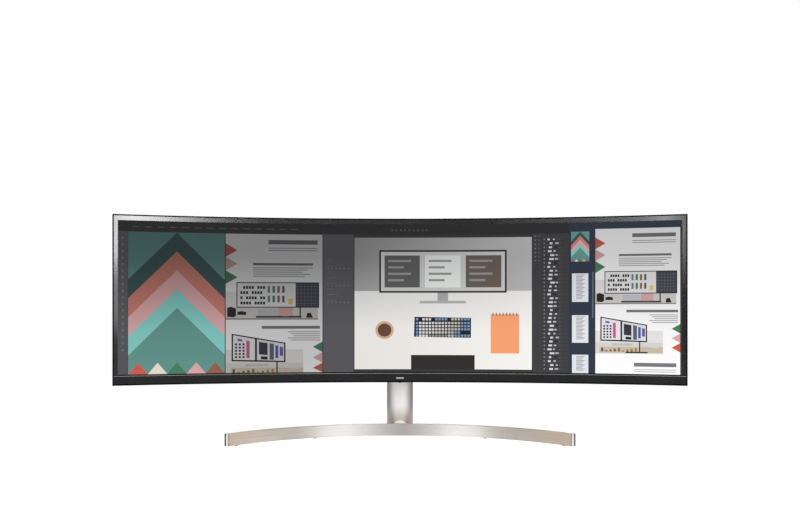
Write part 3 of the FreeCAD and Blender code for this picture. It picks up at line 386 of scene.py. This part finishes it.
class Picture:
    """Flat shapes in millimetres on the unrolled screen, with colours from 0 to 255.

    Each shape has a level, which lifts it over lower ones, and one colour or one for each corner.
    """

    def __init__(self):
        self.shapes = []
        self.shade = (1.0, 1.0)      # brightness at the picture's bottom and top
        self.origin = (0.0, 0.0)
        self.scale = (1.0, 1.0)

    def frame(self, left, bottom, width, height, units, downward=False):
        """Places later shapes in a rectangle units[0] wide and units[1] high, from its top if downward."""
        if downward:
            self.origin = (left, bottom + height)
            self.scale = (width / units[0], -height / units[1])
        else:
            self.origin = (left, bottom)
            self.scale = (width / units[0], height / units[1])

    def whole(self):
        """Places later shapes in millimetres from the picture's lower left corner."""
        self.origin = (0.0, 0.0)
        self.scale = (1.0, 1.0)

    def shape(self, points, colour, level):
        across, up = self.scale
        placed = [(self.origin[0] + x * across, self.origin[1] + y * up) for x, y in points]
        if self.shade != (1.0, 1.0):
            bottom, top = self.shade
            shares = [bottom + (top - bottom) * y / PICTURE_HEIGHT for _, y in placed]
            colours = colour if isinstance(colour, list) else [colour] * len(points)
            colour = [tuple(channel * share for channel in each) for each, share in zip(colours, shares)]
        self.shapes.append((placed, colour, level))

    def block(self, x_low, y_low, x_high, y_high, colour, level):
        self.shape([(x_low, y_low), (x_high, y_low), (x_high, y_high), (x_low, y_high)], colour, level)

    def lines(self, x_low, x_high, rows, thickness, colour, level, ragged=0.0):
        """Greeked text: one bar a row, with ends that vary a little."""
        for number, y in enumerate(rows):
            short = ragged * ((number * 7) % 5) / 5
            self.block(x_low, y, x_high - short, y + thickness, colour, level)

    def round(self, centre, radii, colour, level):
        corners = 28
        ring = []
        for number in range(corners):
            angle = 2 * math.pi * number / corners
            ring.append((centre[0] + radii[0] * math.cos(angle), centre[1] + radii[1] * math.sin(angle)))
        self.shape(ring, colour, level)


def linear(channel):
    """A display value from 0 to 255 as linear light from 0 to 1."""
    channel /= 255
    return channel / 12.92 if channel <= 0.04045 else ((channel + 0.055) / 1.055) ** 2.4


def grey(level):
    return (level, level, level)


def mixed(first, second, share):
    return tuple(a + (b - a) * share for a, b in zip(first, second))


WHITE = (255, 255, 255)
INK = (26, 26, 28)
TEXT = (120, 120, 124)
PINK = (224, 172, 172)
CORAL = (208, 128, 112)
AQUA = (132, 208, 202)
TEAL = (96, 150, 142)
DEEP_TEAL = (44, 84, 82)
RED = (206, 92, 74)
BROWN = (150, 96, 76)
GREEN = (70, 128, 92)
PURPLE = (112, 84, 168)
BLUE = (58, 92, 176)
YELLOW = (236, 208, 96)
CREAM = (236, 226, 206)
NAVY = (40, 50, 66)


def poster(picture, left, bottom, width, height, level=2):
    """A plain pattern: even chevrons over a row of equal triangles."""
    picture.frame(left, bottom, width, height, (100, 150))
    picture.block(0, 0, 100, 150, TEAL, level)
    for number, colour in enumerate((DEEP_TEAL, CORAL, PINK, AQUA)):
        y = 100 - number * 20
        picture.shape([(0, y), (50, y + 50), (50, y + 30), (0, y - 20)], colour, level + 1)
        picture.shape([(50, y + 50), (100, y), (100, y - 20), (50, y + 30)], colour, level + 1)
    for number, colour in enumerate((RED, CREAM, GREEN, PINK, BROWN)):
        picture.shape([(number * 20, 0), (number * 20 + 20, 0), (number * 20 + 10, 12)], colour, level + 2)


def wide_monitor(put, bar):
    """The page's first picture: a wide monitor on a desk by a pale wall."""
    bar(0, 95.5, 60, 75.5, (236, 235, 233))
    bar(0, 95.5, 75.5, 87.5, (214, 212, 208))
    bar(0, 95.5, 87.5, 89, (150, 146, 140))
    bar(11, 96.5, 50, 76.5, INK, 2)
    bar(12, 72, 51, 75.5, (238, 238, 238), 3)
    bar(72, 95.5, 51, 75.5, (60, 64, 76), 3)
    for number in range(6):
        bar(74 + number * 3.6, 74.5 + number * 3.6, 52, 75, (104, 108, 120), 4)
        bar(72.5, 95, 54 + number * 3.6, 54.4 + number * 3.6, (104, 108, 120), 4)
    for row in range(4):
        for number in range(9):
            if (row * 4 + number * 7) % 5:
                bar(15 + number * 2.9, 17.2 + number * 2.9, 54 + row * 5.4, 57 + row * 5.4, INK, 4)
    for number in range(8):
        x, y = 43 + (number % 4) * 5, 54 + (number // 4) * 10
        bar(x, x + 2.6, y, y + 7, ((120, 130, 140), GREEN, BROWN, (90, 90, 96))[number % 4], 4)
    bar(64.5, 69, 67, 73, YELLOW, 4)
    put(INK, [(1.5, 77), (5, 75.5), (10.5, 77.5), (10.5, 85), (8, 86.5), (1.5, 86)], 2)
    put(INK, [(12, 81), (16, 80), (21, 81), (21, 84), (12, 84)], 2)
    bar(76, 77.4, 76.5, 86, INK, 2)
    bar(31, 78, 85, 87, (60, 60, 62), 2)
    bar(33, 54, 78, 84.6, (196, 198, 202), 2)
    bar(54.5, 69, 76.5, 85.5, PINK, 2)
    put(INK, [(84, 82), (88, 82), (90, 87), (83, 87)], 2)


def angled_monitor(put, bar):
    """The page's second picture: a monitor seen at an angle."""
    bar(0, 80, 120, 134, (234, 232, 230))
    bar(0, 80, 134, 147, (220, 217, 212))
    put(INK, [(6, 103.5), (61.5, 113), (61.5, 133.5), (6, 132)], 2)
    put((236, 236, 238), [(7.5, 105), (30, 109), (30, 131), (7.5, 130.5)], 3)
    put((226, 228, 232), [(32, 109.3), (60, 114), (60, 132), (32, 131)], 3)
    put(PURPLE, [(12, 108.5), (17, 109.4), (17, 111.6), (12, 110.8)], 4)
    put((206, 92, 150), [(21, 110.5), (24.5, 111), (24.5, 129), (21, 128.6)], 4)
    for row in range(5):
        for number in range(3):
            x = 9.5 + number * 3.8
            bar(x, x + 2.2, 113.5 + row * 3.3, 115.6 + row * 3.3, (40, 40, 46), 4)
    put((48, 50, 60), [(34, 112), (43, 113.4), (43, 126), (34, 125)], 4)
    put((30, 30, 34), [(36, 127), (43, 127.4), (43, 130.6), (36, 130.2)], 4)
    put((92, 96, 108), [(45, 113.5), (49.5, 114.2), (49.5, 130.8), (45, 130.6)], 4)
    put(BLUE, [(51, 115.5), (54, 116), (54, 129), (51, 129)], 4)
    put(PURPLE, [(55.5, 117), (59, 117.6), (59, 127), (55.5, 126.6)], 4)
    bar(5, 80, 139, 146, (206, 190, 170), 2)
    for number in range(9):
        x, y = 7 + number * 5, 140.2 + (number * 3) % 4
        bar(x, x + 2.4, y, 144.6, (92 + number * 9, 74 + number * 7, 60), 3)
    bar(52, 53.4, 133, 145, INK, 3)
    bar(36, 62, 144.6, 146.4, (58, 56, 56), 3)
    bar(20, 44, 135, 137.6, (196, 196, 198), 2)
    put((206, 216, 214), [(67, 136.5), (77, 136.5), (75, 140), (66, 140)], 4)


def document(picture, left, bottom, width, height, depth, level=2):
    """A page 100 units wide, cut off at depth: greeked text, two pictures of desks, borders of triangles."""
    picture.frame(left, bottom, width, height, (100, depth), downward=True)
    picture.block(0, 0, 100, depth, WHITE, level)

    def put(colour, points, over=1):
        clipped = [(x, min(y, depth)) for x, y in points]
        if len({y for _, y in clipped}) > 1:
            picture.shape(clipped, colour, level + over)

    def bar(x_low, x_high, y_low, y_high, colour, over=1):
        put(colour, [(x_low, y_low), (x_high, y_low), (x_high, y_high), (x_low, y_high)], over)

    bar(44, 95, 6, 10.5, TEXT)
    picture.lines(44, 95, (14, 16.4), 0.9, (160, 160, 164), level + 1)
    for number, colour in enumerate((RED, PINK, GREEN)):
        put(colour, [(0, 10 + number * 14), (12, 17 + number * 14), (0, 24 + number * 14)])
    bar(28, 90, 30, 32.5, TEXT)
    picture.lines(28, 90, (34.5, 36.7, 38.9, 41.1, 43.3), 1.0, (170, 170, 174), level + 1, ragged=14)
    wide_monitor(put, bar)
    bar(37, 97.5, 95.5, 98.5, TEXT)
    for number, y in enumerate((101, 103.2, 105.4, 107.6, 109.8)):
        bar(64 + 3 * (number % 3), 97.5, y, y + 1.0, (170, 170, 174))
    angled_monitor(put, bar)
    for number, colour in enumerate((GREEN, PINK, RED)):
        put(colour, [(100, 112 + number * 11), (90, 117.5 + number * 11), (100, 123 + number * 11)], 2)
    bar(46, 95.5, 157.5, 162, TEXT)
    for y in (165, 167.4):
        bar(46, 95, y, y + 0.9, (170, 170, 174))


def keyboard(picture, level):
    """Rows of keys in two colours, with a few gaps."""
    picture.shape([(47, 53.4), (79, 54), (78.9, 65.2), (46.7, 64.6)], (24, 25, 30), level)
    for row in range(6):
        y = 54.2 + row * 1.78 + (0.3 if row else 0)
        for key in range(17):
            x = 47.8 + key * 1.82
            blue = key > 13 or (row == 0 and key in (0, 6, 7, 8, 9)) or (row > 3 and key > 11) or key == 0
            colour = (116, 150, 190) if blue else mixed((226, 226, 228), (176, 168, 160), key / 16)
            if row == 5 and 4 <= key <= 9:
                colour = (150, 144, 138)
            if not (row == 0 and key in (1, 5, 10)) and not (row == 4 and key > 13):
                picture.block(x, y, x + 1.3, y + 1.2, colour, level + 1)


def desk(picture, left, bottom, width, height, level=2):
    """A plain desk by a grey wall: a screen of empty windows, a keyboard, a mug, a notebook and a mat."""
    units = (100, 74)
    top = level + 1
    picture.frame(left, bottom, width, height, units, downward=True)
    picture.shape([(0, 0), (100, 0), (100, 30), (0, 30)], [grey(142), grey(190), grey(186), grey(160)], level)
    picture.shape([(0, 30), (100, 30), (100, 74), (0, 74)],
                  [(226, 226, 226), (240, 239, 237), (246, 244, 240), (226, 224, 219)], level)
    picture.block(14, 7, 86, 31, INK, top)
    picture.block(15, 8, 85, 30, grey(206), top + 1)
    for number, colour in enumerate((grey(92), (236, 238, 236), (104, 92, 84))):
        x = 17 + number * 23
        picture.block(x, 10, x + 20, 28, colour, top + 2)
        for row in range(4):
            picture.block(x + 2, 12.5 + row * 3.6, x + 15 - row % 2 * 4, 13.7 + row * 3.6, grey(150), top + 3)
    picture.block(47, 31, 53, 35.5, grey(168), top)
    picture.block(37, 35.5, 63, 37, grey(176), top)
    picture.frame(left - 0.13 * width, bottom + 0.12 * height, width, height, units, downward=True)
    keyboard(picture, top)
    picture.frame(left, bottom, width, height, units, downward=True)
    picture.round((17, 52), (5.2, 5), (205, 165, 125), top)
    picture.round((17, 52), (3.9, 3.7), (96, 66, 48), top + 1)
    picture.block(77, 43, 93, 65, (246, 160, 108), top)
    for number in range(8):
        picture.block(78 + number * 1.9, 42.2, 78.6 + number * 1.9, 44, (122, 112, 104), top + 1)
    picture.block(32, 66, 68, 74, (38, 35, 34), top)


def menu_and_tools(picture):
    """The window's dark ground, its menu bar and the narrow strip of tools at its left."""
    picture.block(0, 0, PICTURE_WIDTH, PICTURE_HEIGHT, (48, 48, 50), 1)
    picture.block(0, 305, PICTURE_WIDTH, PICTURE_HEIGHT, (38, 38, 40), 2)
    for number in range(14):
        picture.block(30 + number * 26, 314, 44 + number * 26, 316, (84, 84, 88), 3)
    for number in range(9):
        picture.block(590 + number * 9.5, 312.5, 594 + number * 9.5, 316.5, (84, 84, 88), 3)
    picture.block(0, 0, 20, 305, (78, 78, 81), 2)
    for number in range(18):
        y = 288 - number * 14
        picture.block(8, y, 12, y + 4.5, (104, 104, 108), 3)


def panel(picture):
    """The grey panel of greeked settings between the page and the desk."""
    picture.block(439, 0, 506, 305, (80, 80, 83), 2)
    for number in range(8):
        y = 246 - number * 12.5
        picture.block(446, y, 446 + 10 + (number * 11) % 17, y + 1.2, (100, 100, 104), 3)
        if number % 3 == 1:
            for mark in range(6):
                picture.block(448 + mark * 9, y - 5, 451 + mark * 9, y - 3, (112, 112, 116), 3)


def layer_list(picture):
    """The dark list of rows at the right of the desk."""
    picture.block(902, 0, 980, 305, (58, 58, 60), 2)
    for number in range(7):
        picture.block(906, 298 - number * 9, 909, 301 - number * 9, (120, 120, 124), 3)
        picture.block(914, 298 - number * 9, 917, 301 - number * 9, (96, 96, 100), 3)
    for number in range(34):
        y = 290 - number * 8.6
        left = 934 + (number * 5) % 7
        picture.block(924, y - 2.4, 978, y - 1.9, (48, 48, 50), 3)
        picture.block(926, y + 1, 928.4, y + 3.4, (150, 150, 154), 3)
        picture.block(left, y, left + 5 + (number * 7) % 6, y + 4, (218, 218, 220), 3)
        picture.block(left + 12, y + 0.6, left + 16 + (number * 3) % 4, y + 3.8,
                      (30, 30, 32) if number % 4 == 2 else (190, 190, 194), 3)
        picture.block(958, y + 1, 962 + (number * 13) % 13, y + 2.4, (98, 98, 102), 3)


def page_strip(picture):
    """The strip of small pages beside the page that is open."""
    picture.block(980, 0, 1037, PICTURE_HEIGHT, NAVY, 3)
    poster(picture, 985, 243, 39, 65, 4)
    picture.whole()
    for low, high in ((155, 217), (66, 126), (0, 40)):
        picture.block(987, low, 1022, high, (226, 228, 232), 4)
        for row in range(3, int(high - low) - 6, 3):
            picture.block(996, high - row - 1.4, 1008 + (row * 5) % 9, high - row, (140, 144, 150), 5)
    picture.block(1030, 120, 1033, 220, (96, 104, 118), 4)


def draw_picture():
    picture = Picture()
    menu_and_tools(picture)
    # The two pages on the left stand under a shade that deepens upwards
    picture.shade = (0.95, 0.68)
    poster(picture, 21, 0, 203, 304)
    picture.shade = (0.74, 0.64)
    document(picture, 226, 0, 211, 304, 144)
    picture.shade = (1.0, 1.0)
    picture.whole()
    panel(picture)
    desk(picture, 508, 6, 392, 292)
    picture.whole()
    layer_list(picture)
    page_strip(picture)
    picture.shade = (1.0, 0.84)
    document(picture, 1037, 0, 177, 313, 170.6, 4)
    picture.shade = (1.0, 1.0)
    picture.whole()
    picture.block(1037, 313, PICTURE_WIDTH, PICTURE_HEIGHT, NAVY, 3)
    return picture.shapes


def cut(mesh, place, normal, clear):
    """Cuts all faces along a plane and, if asked, removes what lies beyond it."""
    everything = mesh.verts[:] + mesh.edges[:] + mesh.faces[:]
    bmesh.ops.bisect_plane(mesh, geom=everything, plane_co=place, plane_no=normal, clear_outer=clear)


def build_screen(shapes):
    """The shapes as one mesh, cut to the picture's height and bent round the panel's axis."""
    mesh = bmesh.new()
    ink = mesh.loops.layers.float_color.new("ink")
    for points, colour, level in shapes:
        rise = FIRST_LEVEL + level * LEVEL_STEP
        corners = [mesh.verts.new((x, y, rise)) for x, y in points]
        face = mesh.faces.new(corners)
        shades = colour if isinstance(colour, list) else [colour] * len(points)
        for loop, shade in zip(face.loops, shades):
            loop[ink] = (*(linear(channel) for channel in shade), 1.0)
    bmesh.ops.triangulate(mesh, faces=mesh.faces[:])
    cut(mesh, (0, 0, 0), (0, -1, 0), clear=True)
    cut(mesh, (0, PICTURE_HEIGHT, 0), (0, 1, 0), clear=True)
    for step in range(1, int(PICTURE_WIDTH / BEND_STEP) + 1):
        cut(mesh, (step * BEND_STEP, 0, 0), (1, 0, 0), clear=False)
    for vertex in mesh.verts:
        u, v, rise = vertex.co
        radius = GLASS_RADIUS - rise * MM
        angle = (u - PICTURE_WIDTH / 2) * MM / GLASS_RADIUS
        vertex.co = (radius * math.sin(angle), CURVE_AXIS_Y + radius * math.cos(angle),
                     (PICTURE_BOTTOM + v) * MM)
    for face in mesh.faces:
        face.normal_update()
        if face.normal.y > 0:
            face.normal_flip()
    data = bpy.data.meshes.new("screen_picture")
    mesh.to_mesh(data)
    mesh.free()
    screen = bpy.data.objects.new("screen_picture", data)
    bpy.context.scene.collection.objects.link(screen)
    data.materials.append(picture_light())
    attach(screen, "display")


build_screen(draw_picture())


def chin_edge():
    """The fine polished edge along the top of the chin, under the panel: its bevel catches real light, and
    its light grey colour is a painted highlight.
    """
    profile = [(0.0, CHIN_EDGE_LOW), (0.0, CHIN_EDGE_TOP - CHIN_EDGE_BEVEL), (CHIN_EDGE_BEVEL, CHIN_EDGE_TOP),
               (CHIN_EDGE_DEEP, CHIN_EDGE_TOP), (CHIN_EDGE_DEEP, CHIN_EDGE_LOW)]
    half_angle = math.asin(CHIN_HALF_WIDTH * MM / CURVE_RADIUS)
    mesh = bmesh.new()
    rings = []
    for step in range(CHIN_STEPS + 1):
        angle = half_angle * (2 * step / CHIN_STEPS - 1)
        ring = []
        for depth, height in profile:
            radius = CURVE_RADIUS + depth * MM
            ring.append(mesh.verts.new((radius * math.sin(angle), CURVE_AXIS_Y + radius * math.cos(angle),
                                        height * MM)))
        rings.append(ring)
    for ring, following in zip(rings, rings[1:]):
        for index in range(len(profile)):
            after = (index + 1) % len(profile)
            mesh.faces.new((ring[index], ring[after], following[after], following[index]))
    mesh.faces.new(rings[0])
    mesh.faces.new(reversed(rings[-1]))
    bmesh.ops.recalc_face_normals(mesh, faces=mesh.faces[:])
    data = bpy.data.meshes.new("chin_edge")
    mesh.to_mesh(data)
    mesh.free()
    edge = bpy.data.objects.new("chin_edge", data)
    bpy.context.scene.collection.objects.link(edge)
    # Partly painted highlight: the light grey colour, over a bevel that catches real light
    data.materials.append(moulded("polished_edge_painted_highlight", (0.2, 0.2, 0.205), 0.24, 1500.0, 0.006, specular=0.5))
    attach(edge, "display")


chin_edge()


# Studio ----------------------------------------------------------------------------------------


def floor():
    """A pale table that glows more towards its rim, so that it melts into the white surround."""
    front, side, back = -1.25, 1.0, 0.6
    data = bpy.data.meshes.new("floor")
    corners = [(-side, front), (side, front), (side, -0.2), (0.75, back), (-0.75, back), (-side, -0.2)]
    data.from_pydata([(x, y, 0) for x, y in corners], [], [range(len(corners))])
    plane = bpy.data.objects.new("floor", data)
    bpy.context.scene.collection.objects.link(plane)
    shader = Shader("pale_floor")
    tone = shader.noise(shader.place(), 1.5, 2.0)
    shader.set(Base_Color=shader.blend(tone, (0.88, 0.88, 0.88), (0.9, 0.9, 0.9)))
    length = shader.node("ShaderNodeVectorMath", operation="LENGTH")
    shader.join(shader.place(), length.inputs[0])
    glow = shader.spread(length.outputs["Value"], 0.74, 0.95, 0.5, 1.2)      # from 0.5 m out to 1.2 m
    shader.set(Emission_Color=shader.vector(glow, glow, glow))
    shader.surface.inputs["Emission Strength"].default_value = 1.0
    shader.surface.inputs["Roughness"].default_value = 0.9
    shader.surface.inputs["Specular IOR Level"].default_value = 0.0
    data.materials.append(shader.material)


def world():
    """White for the camera alone, and a faint even light for all else."""
    sky = bpy.data.worlds.new("studio")
    bpy.context.scene.world = sky
    sky.use_nodes = True
    tree = sky.node_tree
    tree.nodes.clear()
    output = tree.nodes.new("ShaderNodeOutputWorld")
    seen = tree.nodes.new("ShaderNodeBackground")
    seen.inputs["Color"].default_value = (1, 1, 1, 1)
    ambient = tree.nodes.new("ShaderNodeBackground")
    ambient.inputs["Color"].default_value = (0.055, 0.055, 0.055, 1)
    ray = tree.nodes.new("ShaderNodeLightPath")
    mix = tree.nodes.new("ShaderNodeMixShader")
    tree.links.new(ray.outputs["Is Camera Ray"], mix.inputs[0])
    tree.links.new(ambient.outputs[0], mix.inputs[1])
    tree.links.new(seen.outputs[0], mix.inputs[2])
    tree.links.new(mix.outputs[0], output.inputs[0])


def softbox(name, place, target, width, height, radiance):
    """A rectangular lamp in metres, aimed at target, as bright as radiance whatever its size."""
    light = bpy.data.lights.new(name, "AREA")
    light.shape = "RECTANGLE"
    light.size = width
    light.size_y = height
    light.energy = radiance * math.pi * width * height
    holder = bpy.data.objects.new(name, light)
    bpy.context.scene.collection.objects.link(holder)
    holder.location = place
    aim = Vector(target) - Vector(place)
    holder.rotation_euler = aim.to_track_quat("-Z", "Y").to_euler()


def camera():
    """The photograph's view: level, 2.25 m in front of the column, with the lens shifted up."""
    lens = bpy.data.cameras.new("camera")
    lens.sensor_width = 36.0
    lens.lens = 43.5
    lens.shift_y = 0.0584
    holder = bpy.data.objects.new("camera", lens)
    bpy.context.scene.collection.objects.link(holder)
    holder.location = (0.0, -2.254, 0.284)
    holder.rotation_euler = (math.radians(90), 0.0, 0.0)
    bpy.context.scene.camera = holder


floor()
world()
softbox("front_top", (0.0, -2.6, 2.4), (0.0, 0.0, 0.25), 2.4, 1.2, 2.0)
softbox("wide_left", (-1.5, -2.45, 0.95), (0.0, 0.0, 0.3), 0.95, 1.6, 4.8)
softbox("wide_right", (1.5, -2.45, 0.95), (0.0, 0.0, 0.3), 0.95, 1.6, 4.8)
softbox("side_left", (-2.4, -0.9, 0.8), (0.0, 0.0, 0.3), 1.2, 1.2, 0.4)
softbox("side_right", (2.4, -0.9, 0.8), (0.0, 0.0, 0.3), 1.2, 1.2, 1.1)
softbox("high_middle", (0.0, -2.5, 1.5), (0.0, 0.0, 0.2), 0.7, 0.7, 0.3)
softbox("near_left", (-0.66, -2.5, 0.9), (-0.66, 0.0, 0.9), 0.66, 0.8, 1.7)
softbox("near_right", (0.64, -2.5, 0.9), (0.64, 0.0, 0.9), 0.72, 0.8, 3.0)
softbox("low_right", (0.64, -2.5, 0.34), (0.64, 0.0, 0.34), 0.72, 0.26, 0.7)
softbox("back", (0.0, 3.0, 2.0), (0.0, 0.0, 0.25), 2.5, 1.5, 2.8)
camera()
bpy.context.scene.view_settings.view_transform = "Standard"
